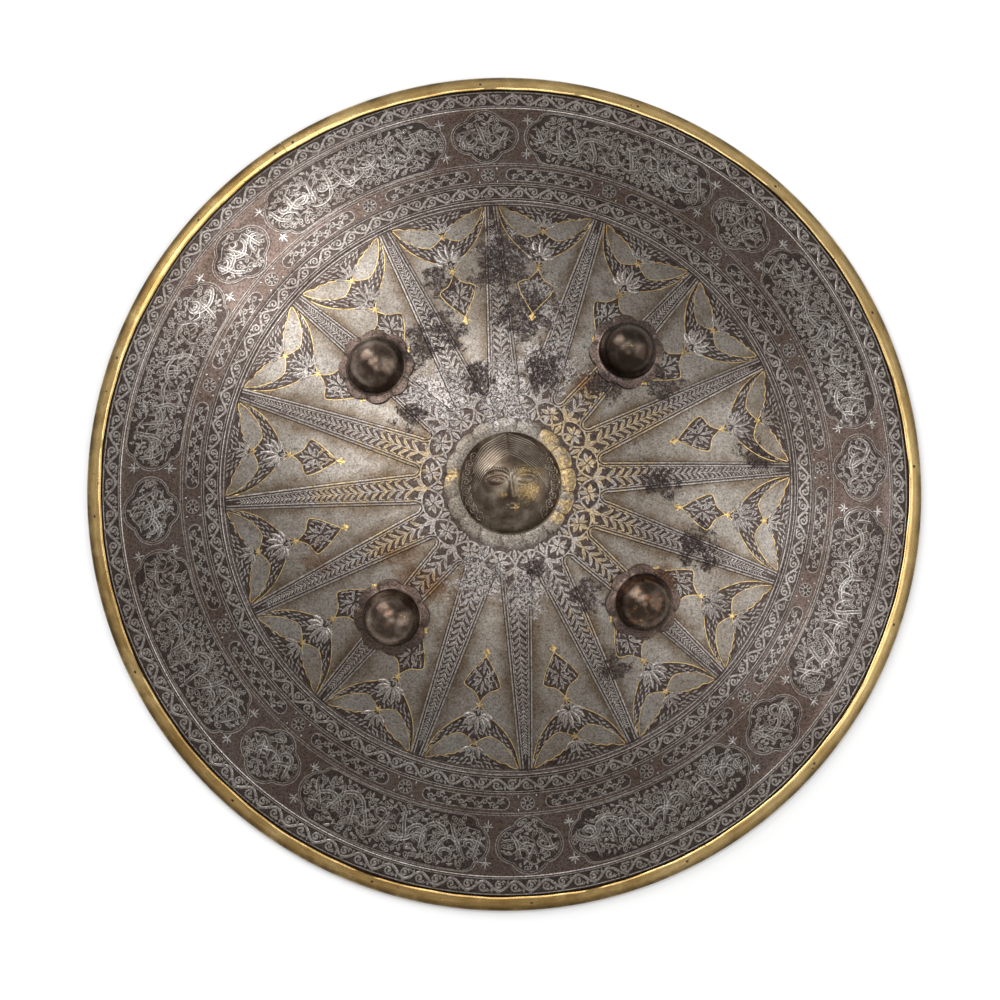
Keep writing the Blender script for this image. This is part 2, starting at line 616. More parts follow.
def vine_and_strokes(shape, seed):
    """The fine vine, its leaves and the bold strokes inside one cartouche."""
    chance = random.Random(seed)
    reach = 52 if shape == "long" else 16
    vine, rings, buds, bold, silver = [], [], [], [], []
    routes = []
    for route in bold_routes(shape, chance):
        route = np.array([p for p in curve_through(route, 16) if inside_outline(shape, *p, 1.3)])
        if len(route) > 5:
            routes.append(route)
            bold.append(wave(route, [0.50, 0.92, 1.00, 0.90, 0.40]))
            for side in (-1, 1):
                edge = beside(route, side * 0.80)[1:-1]
                broken = edge[chance.choice((0, 0, 3)) : len(edge) - chance.choice((0, 0, 4))]
                if chance.random() < 0.80:
                    silver.append(wave(broken, [0.18, 0.32, 0.36, 0.30, 0.16]))
    crowd = np.vstack(routes)
    x = -reach + 1.5
    column = 0
    while x < reach:
        for row in range(-5, 6):
            px, py = x + chance.uniform(-0.7, 0.7), row * 3.2 + (
                1.6 if column % 2 else 0
            ) + chance.uniform(-0.6, 0.6)
            if not inside_outline(shape, px, py, 1.7) or np.hypot(*(crowd - (px, py)).T).min() < 1.25:
                continue
            if chance.random() < 0.62:
                ring, bud = eyed_leaf(px, py, chance.uniform(1.5, 1.95), chance.uniform(0, 360))
                rings.append(ring)
                buds.append(bud)
            else:
                heading = chance.uniform(0, 360)
                way = math.radians(heading)
                foot = px - 1.3 * math.sin(way), py - 1.3 * math.cos(way)
                vine.append(leaf(*foot, chance.uniform(2.7, 3.4), heading, 0.86, 0.15, 4))
        x += 2.75
        column += 1
    for row in (-8.4, -2.6, 3.2, 8.8):
        line = [(t, row + 2.0 * math.sin(t * 0.42 + row)) for t in np.linspace(-reach, reach, 64)]
        line = np.array([p for p in line if inside_outline(shape, *p, 1.6)])
        if len(line) > 3:
            vine.append(wave(line, [0.32]))
    return vine, rings, buds, bold, silver


frames, vines, leaf_rings, leaf_buds, bold_work, silver_edges = [], [], [], [], [], []
for k in range(rays):
    shape = "long" if k % 2 else "small"
    angle = k * ray_turn
    edge = outline_of(shape, 80)
    middle = np.hypot(edge[:, 0], edge[:, 1])[:, None]
    for grow, half in ((0.85, 0.42), (-0.35, 0.26)):
        frames += bent([wave(edge * (1 + grow / np.maximum(middle, 11)), [half])], band_middle, angle)
    found = vine_and_strokes(shape, 40 + k)
    for whole, part in zip((vines, leaf_rings, leaf_buds, bold_work, silver_edges), found):
        whole += bent(part, band_middle, angle)
raised_work("cartouche_frames", [], 0.38, "steel", raised_steel, rings=frames)
raised_work("cartouche_vines", vines, 0.24, "steel", raised_steel, swell=1.35)
raised_work("cartouche_leaves", [], 0.28, "steel", raised_steel, rings=leaf_rings, swell=1.25)
raised_work("cartouche_buds", leaf_buds, 0.30, "steel", bright_steel)
raised_work("cartouche_strokes", bold_work, 0.42, "steel", stroke_steel, swell=1.10)
raised_work("silver_edges", silver_edges, 0.16, "steel", bright_steel, lift=0.40)


# The narrow band has sixteen round-ended cartouches with a leafy vine, and a roundel between each two.
# Silver studs stand at the corners of every roundel, and silver sprigs beside the four-lobed cartouches.
slim_middle, slim_half, roundel = 170.8, 3.5, 3.6
slim_frames, slim_fill, studs = [], [], []
for k in range(rays):
    sides = np.linspace(-math.pi / 2, math.pi / 2, 9)
    cap = np.column_stack((20.2 + slim_half * np.cos(sides), slim_half * np.sin(sides)))
    top = np.column_stack((np.linspace(18, -18, 13), np.full(13, slim_half)))
    outline = np.vstack((cap, top, -cap, -top))
    slim_frames += bent([wave(outline, [0.40])], slim_middle, (k + 0.5) * ray_turn)
    turn = np.linspace(0, 2 * math.pi, 28, endpoint=False)
    circle = np.column_stack((np.sin(turn), np.cos(turn)))
    slim_frames += bent(
        [wave(circle * roundel, [0.36]), wave(circle * 1.3, [0.34])], slim_middle, k * ray_turn
    )
    around = np.linspace(0, 2 * math.pi, 8, endpoint=False)
    petals = [leaf(1.4 * math.sin(t), 1.4 * math.cos(t), 1.9, math.degrees(t), 0.62, 0.1, 4) for t in around]
    slim_fill += bent(petals, slim_middle, k * ray_turn)
    x = np.linspace(-21, 21, 60)
    vine = [wave(np.column_stack((x, 1.4 * np.sin(x * 2 * math.pi / 8.4))), [0.36, 0.46, 0.36])]
    for j in range(10):
        place, side = -18.9 + 4.2 * j, 1 if j % 2 else -1
        vine.append(curl(place, side * 0.9, 1.75, 90 - side * 60, side, 1.2, 0.42, 12))
        vine.append(leaf(place + 1.3, -side * 1.3, 2.6, 58 if side < 0 else 122, 0.82, 0.25 * side, 4))
        vine.append(leaf(place - 1.9, side * 2.7, 2.2, 85, 0.55, 0.2 * side, 4))
    slim_fill += bent(vine, slim_middle, (k + 0.5) * ray_turn)
    for x in (-5.0, 5.0):
        for y in (-3.7, 3.7):
            studs += bent([leaf(x, y - 0.6, 1.2, 0, 0.62, 0, 4)], slim_middle, k * ray_turn)
for k in range(0, rays, 2):
    for side in (-1, 1):
        for y, grow in ((-9.6, 0), (9.6, 180)):
            sprig = [leaf(side * 23.2, y, 2.6, grow, 0.55, 0, 4)]
            for lean, length in ((-84, 3.1), (-42, 3.1), (0, 4.2), (42, 3.1), (84, 3.1)):
                sprig.append(leaf(side * 23.2, y, length, grow + lean + 180, 0.52, 0, 4))
            studs += bent(sprig, band_middle, k * ray_turn)
raised_work("slim_band_frames", [], 0.30, "steel", raised_steel, rings=slim_frames)
raised_work("slim_band_vines", slim_fill, 0.24, "steel", raised_steel, swell=1.30)
raised_work("silver_studs", studs, 0.34, "steel", bright_steel)


# Each panel of the star is edged by two raised lines that run round its tip.
# The rays between carry a stem with pairs of leaves that grow larger towards the middle.
def panel_edge(grow):
    """The line round a star panel's tip, at a distance outside its edge."""
    reach = np.linspace(152.0, 54.0, 40)
    side = np.array([panel_half(r / 1000) * 1000 + grow for r in reach])
    right = np.column_stack((reach * np.sin(side / reach), reach * np.cos(side / reach)))
    turn = np.linspace(0, math.pi, 11)[1:-1]
    tip = np.column_stack((side[-1] * np.cos(turn), reach[-1] - (4.0 + grow) * np.sin(turn)))
    return np.vstack((right, tip, right[::-1] * (-1, 1)))


edging, foliage, veins = [], [], []
for k in range(rays):
    pair = [wave(panel_edge(0.60), [0.62]), wave(panel_edge(2.10), [0.50])]
    edging += turned(pair, (k + 0.5) * ray_turn)
stem = [wave(np.column_stack((np.zeros(30), np.linspace(147, 51, 30))), [0.30, 0.35, 0.42])]
reach = 144.0
while reach > 50:
    room = (ray_turn / 2 - panel_half(reach / 1000) / (reach / 1000)) * reach - 2.7
    grown = max(room * 1.28, 2.2)
    for side in (-1, 1):
        stem.append(leaf(side * 0.35, reach - grown * 0.45, grown, side * 41, grown * 0.215, side * -0.10))
        if room > 1.9:
            foot = side * room * 0.99, reach - grown * 0.92
            stem.append(leaf(*foot, grown * 0.46, side * -16, grown * 0.10, side * 0.1, 4))
    reach -= grown * 0.70
for k in range(rays):
    foliage += turned(stem, k * ray_turn)
    veins += turned(veins_of(stem, 0.62), k * ray_turn)
raised_work("star_edging", edging, 0.46, "steel", raised_steel)
raised_work("ray_foliage", foliage, 0.34, "steel", raised_steel)
raised_work("ray_leaf_veins", veins, 0.14, "steel", ground_steel, lift=0.25)


# Each panel is inlaid near its outer end with gold wire round fields of dark ground with small leaves.
# Two plain wings, a crescent and a pointed lozenge hang there one below the other.
wing_upper = [
    (25.0, 150.2), (21.5, 149.7), (18.6, 148.2), (15.6, 148.3), (12.7, 146.9), (10.2, 146.6), (8.0, 145.0),
    (5.6, 144.3), (4.0, 142.6), (1.9, 141.0), (0, 138.9)
]
wing_lower = [
    (25.2, 149.6), (22.6, 145.2), (17.8, 140.0), (12.9, 136.5), (8.5, 134.9), (4.7, 136.2), (1.7, 138.1),
    (0, 138.9)
]
crescent_lower = [
    (25.9, 148.4), (23.0, 141.5), (18.9, 135.2), (13.9, 130.2), (9.6, 126.9), (5.8, 124.2), (2.7, 121.5),
    (0, 118.9)
]
lozenge_side = [
    (0, 117.6), (1.7, 114.6), (4.3, 111.6), (7.4, 110.3), (9.7, 108.4), (9.0, 106.0), (7.2, 102.5),
    (4.4, 98.6), (1.9, 95.2), (0, 93.0)
]


def level(side, x):
    """The height of an inlay's edge at a distance from the panel's middle."""
    x_marks, y_marks = np.array(side)[::-1].T
    return float(np.interp(abs(x), x_marks, y_marks))


def ground_field(columns, rows, middle, reach, lower, upper, lay):
    """A thin sheet of dark ground between two edges, reaching both ways from its middle, laid on the bowl."""
    for vert in bmesh.ops.create_grid(fields, x_segments=columns, y_segments=rows, size=1)["verts"]:
        x, share = middle + vert.co.x * reach, (vert.co.y + 1) / 2
        vert.co.xy = lay(x, lower(x) + (upper(x) - lower(x)) * share)


def even_field(columns, rows, middle, reach, half, lay):
    """A field of ground that is as deep on one side of its line as on the other."""
    ground_field(columns, rows, middle, reach, lambda x: -half(x), half, lay)


def panel_place(angle):
    """Lays upright places in a panel at an angle."""
    return lambda x, y: (x * math.cos(angle) + y * math.sin(angle), y * math.cos(angle) - x * math.sin(angle))


def band_place(angle, radius):
    """Lays places of a straight band along a circle."""
    return lambda x, y: (
        (radius + y) * math.sin(angle + x / radius), (radius + y) * math.cos(angle + x / radius)
    )


def half_height(marks):
    """Half the height of a cartouche, for places along it."""
    upper = marks[marks[:, 1] >= 0]
    upper = upper[np.argsort(upper[:, 0])]
    return lambda x: float(np.interp(x, upper[:, 0], upper[:, 1]))


fields = bmesh.new()
long_half, small_half = half_height(outline_of("long", 80)), half_height(outline_of("small", 160))
lozenge_edge = np.array(lozenge_side)
lozenge_half = lambda y: float(np.interp(-y, -lozenge_edge[:, 1], lozenge_edge[:, 0]))
slim_edge = lambda x: math.sqrt(max(3.4**2 - max(abs(x) - 19.9, 0) ** 2, 0))
roundel_edge = lambda x: math.sqrt(max(3.4**2 - x**2, 0))
for k in range(rays):
    here = panel_place((k + 0.5) * ray_turn)
    ground_field(24, 4, 0, 25, lambda x: level(wing_upper, x), lambda x: math.sqrt(152.3**2 - x**2), here)
    ground_field(36, 6, 0, 25.2, lambda x: level(crescent_lower, x), lambda x: level(wing_lower, x), here)
    even_field(20, 6, 105.3, 12.2, lozenge_half, lambda y, x: here(x, y))
    on_band, on_slim_band = band_place(k * ray_turn, band_middle), band_place(k * ray_turn, slim_middle)
    if k % 2:
        even_field(60, 8, 0, 51.8, long_half, on_band)
    else:
        even_field(22, 8, 0, 15.2, small_half, on_band)
    even_field(40, 3, 0, 23.3, slim_edge, band_place((k + 0.5) * ray_turn, slim_middle))
    even_field(12, 3, 0, 3.4, roundel_edge, on_slim_band)
bmesh.ops.recalc_face_normals(fields, faces=fields.faces)
field_mesh = mesh_from(fields, "cut_back_fields")
flat = places_of(field_mesh)
set_places(field_mesh, on_dome(flat[:, 0] / 1000, flat[:, 1] / 1000, 0.00006))
if sum(p.normal.z for p in field_mesh.polygons) < 0:
    field_mesh.flip_normals()
new_piece("cut_back_fields", field_mesh, "steel", ground_steel)

gold, tree, shader = metal("gold wire", 0.32)
golds = ((0.35, (0.30, 0.20, 0.09)), (0.52, (0.72, 0.50, 0.20)), (0.75, (0.90, 0.68, 0.34)))
tree.links.new(stops(tree, mottle(tree, 320, 4, 0.6), *golds), shader.inputs["Base Color"])

wires, knots, sprays = [], [], []
for flip in (1, -1):
    for side in (wing_upper, wing_lower, crescent_lower, lozenge_side):
        line = curve_through([(flip * x, y) for x, y in side], 34)
        wires.append(wave(line, [0.30, 0.32, 0.30]))
knots += [leaf(0, 137.1, 3.6, 0, 1.10, 0, 5), leaf(-1.8, 138.9, 3.6, 90, 0.75, 0, 5)]
knots += [leaf(0, 116.7, 3.8, 0, 1.10, 0, 5), leaf(-1.9, 118.6, 3.8, 90, 0.75, 0, 5)]
knots += [
    leaf(0, 88.7, 4.2, 0, 1.75, 0, 6), leaf(-2.0, 90.9, 4.0, 90, 1.35, 0, 5),
    wave([(0, 93.4), (0, 91.0)], [0.32])
]
for heading, length in ((0, 9.6), (24, 9.4), (-24, 9.4), (50, 8.6), (-50, 8.6), (76, 7.2), (-76, 7.2)):
    turn = math.radians(heading)
    foot = 1.2 * math.sin(turn), 124.0 + 1.2 * math.cos(turn)
    sprays.append(leaf(*foot, length, heading, 1.55, 0.10 * np.sign(heading)))
sprays += [
    leaf(0, 119.8, 4.2, 0, 1.1, 0), leaf(0.6, 121.6, 4.6, 62, 1.0, 0.1),
    leaf(-0.6, 121.6, 4.6, -62, 1.0, -0.1)
]
for heading, length in ((0, 8.2), (34, 7.2), (-34, 7.2), (62, 8.0), (-62, 8.0)):
    sprays.append(leaf(0, 141.8, length, heading, 1.30, 0.1 * np.sign(heading)))
for side in (-1, 1):
    for foot_y, length, heading, half in (
        (104.6, 6.8, 46, 1.30), (104.2, 6.4, 134, 1.20), (105.2, 4.6, 84, 0.95)
    ):
        sprays.append(leaf(side * 0.7, foot_y, length, side * heading, half, side * -0.10))
sprays += [leaf(0, 106.0, 7.4, 0, 1.20, 0), leaf(0, 102.6, 7.4, 180, 1.15, 0)]
stalks = np.vstack([s[:, :2] for s in sprays])
beyond_wings = lambda x, y: level(wing_upper, x) + 0.9 < y < math.sqrt(152.2**2 - x * x) - 0.3
in_crescent = lambda x, y: level(crescent_lower, x) + 0.8 < y < level(wing_lower, x) - 0.7
in_lozenge = lambda x, y: 94 < y < 116.6 and abs(x) < lozenge_half(y) - 0.8
clear = lambda x, y: np.hypot(*(stalks - (x, y)).T).min() > 1.15
for seed, (within, across, along, gap, heading) in enumerate((
    (beyond_wings, (-24.5, 24.5), (138, 152.4), 2.6, 62),
    (in_crescent, (-24.5, 24.5), (119, 150), 2.5, 42),
    (in_lozenge, (-9, 9), (94, 117), 2.4, 30),
), start=3):
    free = lambda x, y: within(x, y) and clear(x, y)
    sprays += leaves_over(free, across, along, gap, lambda x, y: heading * np.sign(x), seed)
all_wires, all_knots, all_sprays, spray_veins = [], [], [], []
for k in range(rays):
    angle = (k + 0.5) * ray_turn
    all_wires += turned(wires, angle)
    all_knots += turned(knots, angle)
    all_sprays += turned(sprays, angle)
    spray_veins += turned(veins_of(sprays, 0.9), angle)
raised_work("gold_wires", all_wires, 0.14, "gilding", gold, lift=0.04)
raised_work("gold_knots", all_knots, 0.26, "gilding", gold)
raised_work("panel_leaves", all_sprays, 0.20, "steel", raised_steel, lift=0.06)
raised_work("panel_leaf_veins", spray_veins, 0.14, "steel", ground_steel, lift=0.22)


# Round the middle, sixteen loops cross over leaves, inside them a ring of sixteen broad chased petals.
# The petals were gilt, and most of the gold is left on the right side.
loops, petals, middle_veins = [], [], []
for k in range(rays):
    t = np.linspace(-1, 1, 25)
    turn = np.radians(11.25 * t)
    sag = (1 - np.sqrt(1 - (0.95 * t) ** 2)) / (1 - math.sqrt(1 - 0.95**2))
    inner = 37.0 + 7.4 * sag
    outer = 48.2 - 4.2 * sag
    loop = []
    for way, half in ((inner, 0.80), (outer, 0.66)):
        loop.append(wave(np.column_stack((way * np.sin(turn), way * np.cos(turn))), [half]))
    for first, off, length, half, bend, count in ((0, 0.5, 4.9, 1.90, 0.06, 5), (45, 1.6, 3.2, 1.10, 0, 4)):
        for h in np.radians([first, first + 90, first + 180, first + 270]):
            foot = off * math.sin(h), 42.4 + off * math.cos(h)
            loop.append(leaf(*foot, length, math.degrees(h), half, bend, count))
    loops += turned(loop, (k + 0.5) * ray_turn)
    between = [leaf(0, 35.6, 5.8, 0, 1.8, 0), leaf(0, 45.0, 6.4, 0, 2.0, 0)]
    between += [leaf(side * 0.9, 44.8, 6.2, side * 44, 1.70, side * -0.1) for side in (-1, 1)]
    between += [leaf(side * 1.8, 36.2, 4.4, side * 50, 1.2, side * -0.1) for side in (-1, 1)]
    between += [leaf(side * 4.6, 46.6, 3.8, side * 10, 0.95, 0, 4) for side in (-1, 1)]
    loops += turned(between, k * ray_turn)
    middle_veins += turned(veins_of(loop, 1.0), (k + 0.5) * ray_turn)
    middle_veins += turned(veins_of(between, 1.0), k * ray_turn)
    t = np.linspace(-1, 1, 15)
    turn = np.radians(11.0 * t)
    reach = 31.5 - 1.1 * t**2
    widths = 4.7 * (1 - 0.28 * np.abs(t) ** 3) * np.clip((1.06 - np.abs(t)) / 0.08, 0.6, 1)
    petals += turned([np.column_stack((reach * np.sin(turn), reach * np.cos(turn), widths))], k * ray_turn)
petal_gilding = [(0.036, 0.008, 0.016), (0.024, 0.026, 0.008), (0.030, -0.019, 0.009), (-0.032, 0.006, 0.004)]
petal_steel = steel_finish(
    "petal steel", (0.265, 0.235, 0.203), (0.175, 0.142, 0.110), (0.06, 0.043, 0.031), gilt=1.0,
    grain_depth=0.6, gilt_places=petal_gilding
)
joints = []
for degrees in (22, 45, 67, 90, 112, 135):
    turn = math.radians(degrees + (11.25 if degrees % 45 == 0 else 11.75))
    route = [(way * math.sin(turn), way * math.cos(turn)) for way in (27.5, 31, 34.4)]
    joints.append(wave(route, [0.20, 0.24, 0.85]))
raised_work("middle_loops", loops, 0.36, "steel", raised_steel)
raised_work("middle_leaf_veins", middle_veins, 0.14, "steel", ground_steel, lift=0.27)
raised_work("chased_petals", petals, 0.24, "gilding", petal_steel)
raised_work("petal_bed", [], 0.10, "steel", petal_steel, rings=[ring_line(29.7, 3.6)])
raised_work("petal_joints", joints, 0.14, "steel", ground_steel, lift=0.12)


# Each outer boss is a round iron ball on a flange of eight petals, held by a rivet clenched inside the bowl.
# The iron is browned, rubbed bright on top, with rust and gilding left in the hollows.
boss_circle = 0.0950
ball, boss_height, cove = 0.0151, 0.0185, 0.0008
flange, notch, plate, dish = 0.0206, 0.0022, 0.0012, 0.0005
shank, clench, clench_depth = 0.0025, 0.0052, 0.0016
seat = ray_relief + 0.0003
inside_face, clench_end = -sheet - 0.0003, -sheet - 0.0003 - clench_depth
clenched = [(shank, inside_face), (clench, inside_face), (clench, -sheet - 0.0006)]
clenched += [(clench * 0.93, -sheet - 0.0013), (clench * 0.82, clench_end), (0, clench_end)]


def iron_finish(name, rust, gilt, rubbed=1.0):
    """Browned iron, rubbed lighter in places, with some rust or gilding left."""
    made, tree, shader = metal(name, 0.30)
    cloud = mottle(tree, 120, 6, 0.6)
    browned, bright = [
        tuple(c * rubbed for c in tint)
        for tint in ((0.100, 0.072, 0.055), (0.25, 0.21, 0.175))
    ]
    tone = stops(tree, cloud, (0.30, (0.042, 0.028, 0.021)), (0.52, browned), (0.74, bright))
    rusty = stops(tree, mottle(tree, 240, 5, 0.7), (0.60 - rust, 0.0), (0.74 - rust, 0.9))
    tone = mixed(tree, rusty, tone, (0.21, 0.085, 0.030, 1))
    golden = stops(tree, mottle(tree, 300, 5, 0.7), (0.66 - gilt, 0.0), (0.74 - gilt, 0.8))
    tone = mixed(tree, golden, tone, (0.52, 0.36, 0.15, 1))
    rough = stops(tree, cloud, (0.3, 0.19), (0.7, 0.34))
    finish_metal(tree, shader, tone, rough, 0.20, mottle(tree, 500, 4, 0.6))
    return made


def spun_solid(profile, sides):
    """A closed solid turned from (radius, height) pairs that start and end on its axis."""
    bm = bmesh.new()
    verts = [bm.verts.new((0, r, z)) for r, z in profile]
    lines = [bm.edges.new(pair) for pair in zip(verts, verts[1:])]
    bmesh.ops.spin(
        bm, geom=verts + lines, cent=(0, 0, 0), axis=(0, 0, 1), angle=2 * math.pi, steps=sides,
        use_merge=True
    )
    bmesh.ops.remove_doubles(bm, verts=bm.verts, dist=1e-6)
    bmesh.ops.recalc_face_normals(bm, faces=bm.faces)
    return bm


def boss_profile():
    """Half the boss's section from its top down to the clenched end of its rivet."""
    middle = boss_height - ball
    top, lip = seat + plate, seat + plate - dish
    found = [(ball * math.sin(t), middle + ball * math.cos(t)) for t in np.linspace(0, math.pi / 2, 20)]
    found += [(ball, top + cove * 2), (ball + 0.0003, top + cove), (ball + cove, top + 0.0002)]
    found += [(flange * s, top - dish * (s - 0.8) * 5) for s in (0.82, 0.87, 0.92, 0.97)]
    found += [(flange - 0.0002, lip), (flange, lip - 0.0003)]
    found += [(flange, seat - dish + 0.0003), (flange - 0.0003, seat - dish)]
    return found + [(ball, seat), (shank, seat)] + clenched


def standing(angle, fall, radius, height):
    """The frame of something that stands square to a slope, at an angle and a radius round the bowl."""
    out = Vector((math.sin(angle), math.cos(angle), 0))
    up = out * math.sin(fall) + Vector((0, 0, math.cos(fall)))
    down = out * math.cos(fall) - Vector((0, 0, math.sin(fall)))
    stand = Matrix((up.cross(down) * -1, down, up)).transposed().to_4x4()
    stand.translation = out * radius + Vector((0, 0, height))
    return stand


boss_fall = math.atan(dome_rise * dome_power / bowl_radius * (boss_circle / bowl_radius) ** (dome_power - 1))
flange_iron = steel_finish(
    "flange iron", (0.158, 0.116, 0.097), (0.095, 0.064, 0.050), (0.040, 0.026, 0.020), grain_depth=0.6
)
boss_finishes = {
    "boss_upper_right": (45, iron_finish("dark boss iron", 0.0, 0.0, 0.5)),
    "boss_lower_right": (135, iron_finish("rusty boss iron", 0.08, 0.05, 0.9)),
    "boss_lower_left": (225, iron_finish("worn boss iron", 0.02, 0.03, 1.2)),
    "boss_upper_left": (315, iron_finish("rubbed boss iron", 0.0, 0.0, 1.4)),
}
for name, (angle, finish) in boss_finishes.items():
    bm = spun_solid(boss_profile(), 96)
    for vert in bm.verts:
        reach = math.hypot(vert.co.x, vert.co.y)
        if reach > ball + 0.0002 and vert.co.z > 0:
            across = (math.atan2(vert.co.x, vert.co.y) * 8 / (2 * math.pi) + 0.5) % 1 - 0.5
            share = (reach - ball) / (flange - ball)
            gathered = 1 - notch * (2 * abs(across)) ** 2 * share / reach
            vert.co.x *= gathered
            vert.co.y *= gathered
            if vert.co.z > seat + plate - dish - 0.0002:
                vert.co.z -= 0.0004 * max(0, abs(across) * 2 - 0.72) / 0.28 * min(share * 2, 1)
    for face in bm.faces:
        face.material_index = int(math.hypot(*face.calc_center_median().xy) > ball + 0.0006)
    bm.transform(standing(math.radians(angle), boss_fall, boss_circle, dome_height(boss_circle)))
    mesh = mesh_from(bm, name)
    smooth_below(mesh, 38)
    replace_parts(new_piece(f"petalled_{name}", mesh, "dark_iron", finish, flange_iron), name)


# The central boss is a hollow iron cap with a sun face, its hair parted and engraved, its rivet clenched
# inside. The face is raised from the sheet on the proportions that drawing books teach, and traces of
# gilding are left on it.
cap_radius, cap_height, cap_wall = 0.0274, 0.0165, 0.0018
petal_relief = 0.0005
cap_mm = cap_radius * 1000
cap_foot = dome_height(cap_radius) - dome_height(0) + petal_relief + 0.0003
cap_ball = (cap_radius**2 + (cap_height - cap_foot) ** 2) / (2 * (cap_height - cap_foot))
cap_middle = cap_height - cap_ball


def swell(x, y, middle, half_width, half_height):
    """A soft round swelling of height 1 about a middle."""
    reach = ((x - middle[0]) / half_width) ** 2 + ((y - middle[1]) / half_height) ** 2
    return np.clip(1 - reach, 0, 1) ** 0.75


def ridge(x, y, route, half):
    """A soft ridge of height 1 along a route, with half its width at each of its points."""
    height = np.zeros_like(x)
    for (ax, ay), (bx, by), first, last in zip(route, route[1:], half, half[1:]):
        run = (bx - ax) ** 2 + (by - ay) ** 2
        t = np.clip(((x - ax) * (bx - ax) + (y - ay) * (by - ay)) / run, 0, 1)
        gap = np.hypot(x - ax - t * (bx - ax), y - ay - t * (by - ay))
        height = np.maximum(height, np.exp(-((gap / (first + t * (last - first))) ** 2) * 1.4))
    return height


def face_relief(x, y):
    """How far the face stands out of the cap, in mm, at places given as shares of its radius."""
    side = np.abs(x)
    nose = ridge(x, y, [(0, 0.17), (0, 0.0), (0, -0.20), (0, -0.29)], [0.040, 0.044, 0.068, 0.085])
    out = 1.55 * nose * np.clip((0.30 - y) * 2.2, 0.35, 1)
    brow_line = [(0.03, 0.15), (0.14, 0.235), (0.30, 0.262), (0.46, 0.20), (0.57, 0.09)]
    out = np.maximum(out, 0.75 * ridge(side, y, brow_line, [0.040, 0.042, 0.040, 0.034, 0.02]))
    out = np.maximum(out, 0.55 * swell(side, y, (0.075, -0.285), 0.065, 0.055))
    socket = -0.35 * np.exp(-(((side - 0.27) / 0.26) ** 2 + ((y - 0.09) / 0.12) ** 2))
    out = out + socket * (out < 0.3)
    eye = swell(side, y, (0.28, 0.02), 0.160, 0.075)
    out = np.maximum(out, 0.95 * eye)
    lids = ((side - 0.28) / 0.185) ** 2 + ((y - 0.02) / 0.094) ** 2
    out = out - 0.20 * np.exp(-(((lids - 1) / 0.16) ** 2))
    out = out + 0.30 * np.exp(-(((lids - 1.5) / 0.22) ** 2)) * (y > 0.0)
    iris = np.hypot(side - 0.28, y - 0.02)
    out = out - 0.16 * np.exp(-(((iris - 0.050) / 0.012) ** 2)) * (eye > 0)
    out = out - 0.18 * np.exp(-((iris / 0.014) ** 2))
    bow = y + 0.455 - 0.022 * np.cos(x * 38) * (side < 0.1)
    out = np.maximum(out, 0.70 * swell(x, bow, (0, 0), 0.150, 0.036))
    out = np.maximum(out, 0.80 * swell(x, y, (0, -0.520), 0.118, 0.042))
    out = out - 0.25 * np.exp(-(((y + 0.487) / 0.012) ** 2)) * (side < 0.16)
    out = out + 0.60 * np.exp(-((x / 0.15) ** 2 + ((y + 0.69) / 0.085) ** 2))
    return out + 0.35 * np.exp(-(((side - 0.40) / 0.20) ** 2 + ((y + 0.24) / 0.22) ** 2))


def on_cap(x, y, up=0.0):
    """Points on the face over places in plan, lifted square to the cap, in metres."""
    up = up + face_relief(x / cap_radius, y / cap_radius) / 1000
    height = np.sqrt(np.maximum(cap_ball**2 - x**2 - y**2, 0))
    grow = 1 + up / cap_ball
    return np.column_stack((x * grow, y * grow, height * grow + cap_middle + dome_height(0)))


face_iron, tree, shader = metal("face iron", 0.34)
cloud = mottle(tree, 90, 6, 0.6)
tone = stops(
    tree, cloud, (0.28, (0.060, 0.040, 0.029)), (0.50, (0.150, 0.112, 0.080)), (0.72, (0.34, 0.285, 0.225))
)
tone = mixed(
    tree, stops(tree, mottle(tree, 520, 4, 0.7), (0.55, 0.0), (0.70, 0.75)), tone, (0.040, 0.028, 0.022, 1)
)
face_gilding = [
    (0.0085, -0.0055, 0.0048), (0.0070, 0.0050, 0.0030), (0.0150, 0.0045, 0.0028),
    (-0.0050, -0.0070, 0.0018), (0.0020, -0.0140, 0.0014),
]
gilt_left = patches(tree, face_gilding, mottle(tree, 640, 6, 0.8), (0.40, 0.55))
flakes = stops(tree, mottle(tree, 900, 4, 0.7), (0.42, 0.15), (0.54, 0.95))
grains = stops(tree, mottle(tree, 1300, 3, 0.8), (0.44, 0.0), (0.56, 1.0))
gilding = mixed(tree, grains, (0.22, 0.14, 0.055, 1), (0.50, 0.355, 0.15, 1))
tone = mixed(tree, sum_of(tree, "MULTIPLY", gilt_left, flakes), tone, gilding)
rough = stops(tree, cloud, (0.3, 0.26), (0.7, 0.46))
finish_metal(tree, shader, tone, rough, 0.25, mottle(tree, 900, 4, 0.6))

reach_out = np.linspace(0, cap_radius - 0.0004, 60)
inner_ball = cap_ball - cap_wall
inner_rim = cap_radius - 1.4 * cap_wall
inner_foot = dome_height(inner_rim) - dome_height(0) + petal_relief + 0.0003
profile = [(r, 1.0) for r in reach_out]
profile += [(cap_radius - 0.0001, 0.5), (cap_radius, cap_foot + 0.0004)]
profile += [(cap_radius - 0.0004, cap_foot), (inner_rim, inner_foot)]
profile += [
    (r, cap_middle + math.sqrt(inner_ball**2 - r**2))
    for r in np.linspace(inner_rim - 0.0008, shank, 9)
]
bm = spun_solid(profile + clenched, 240)
face_mesh = mesh_from(bm, "face_boss_sun")
spun = places_of(face_mesh)
raised = on_cap(spun[:, 0], spun[:, 1])
plain = spun + (0, 0, dome_height(0))
plain[:, 2] = np.where(spun[:, 2] == 0.5, dome_height(0) + cap_foot + 0.0008, plain[:, 2])
set_places(face_mesh, np.where((spun[:, 2] > 0.9)[:, None], raised, plain))
